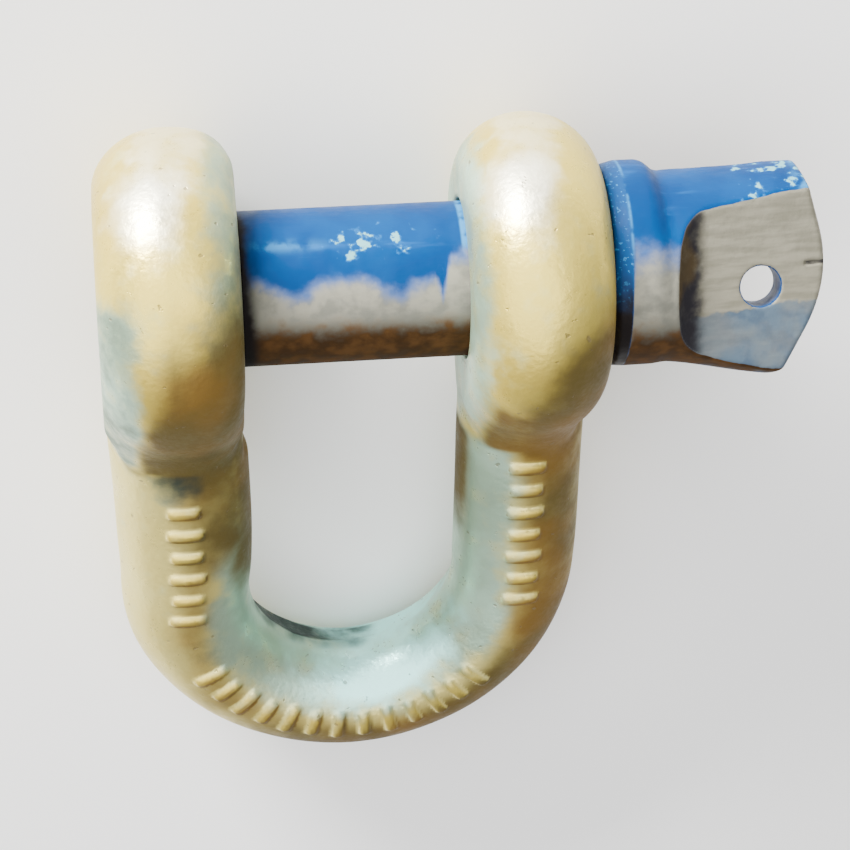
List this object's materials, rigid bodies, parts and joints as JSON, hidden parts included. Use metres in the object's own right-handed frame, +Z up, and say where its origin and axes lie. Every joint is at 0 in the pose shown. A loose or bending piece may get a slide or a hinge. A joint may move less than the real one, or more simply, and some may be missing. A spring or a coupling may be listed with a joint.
{
  "type": "screw pin dee shackle",
  "caption": "Forged D-shaped shackle with a screw pin: a U-shaped body with rounded eyes, and a threaded pin with a collar and a flattened, drilled lug.",
  "frame": {"origin": "the pin's axis, midway between the inner faces of the two eyes, with the shackle lying at rest on its eyes and its crown", "axes": "X along the pin, with the lug at +X; the legs and the crown towards -Y; +Z up, square to the surface it lies on"},
  "size_m": [0.1045, 0.1134, 0.0474],
  "materials": {
    "passivated_forging": "satin zinc coating with a yellow-olive passivated film over forged steel, with a fine orange-peel texture",
    "blue_painted_forging": "semi-gloss blue paint, worn and dusty, rubbed through to grey steel on the lug's flats"
  },
  "bodies": {
    "shackle_body": {"shackle_body": "passivated_forging"},
    "screw_pin": {"screw_pin": "blue_painted_forging"}
  },
  "joints": [
    {"name": "pin_withdraw", "type": "slide", "parent": "shackle_body", "child": "screw_pin", "axis": [1, 0, 0], "range_m": [0, 0.078]}
  ]
}
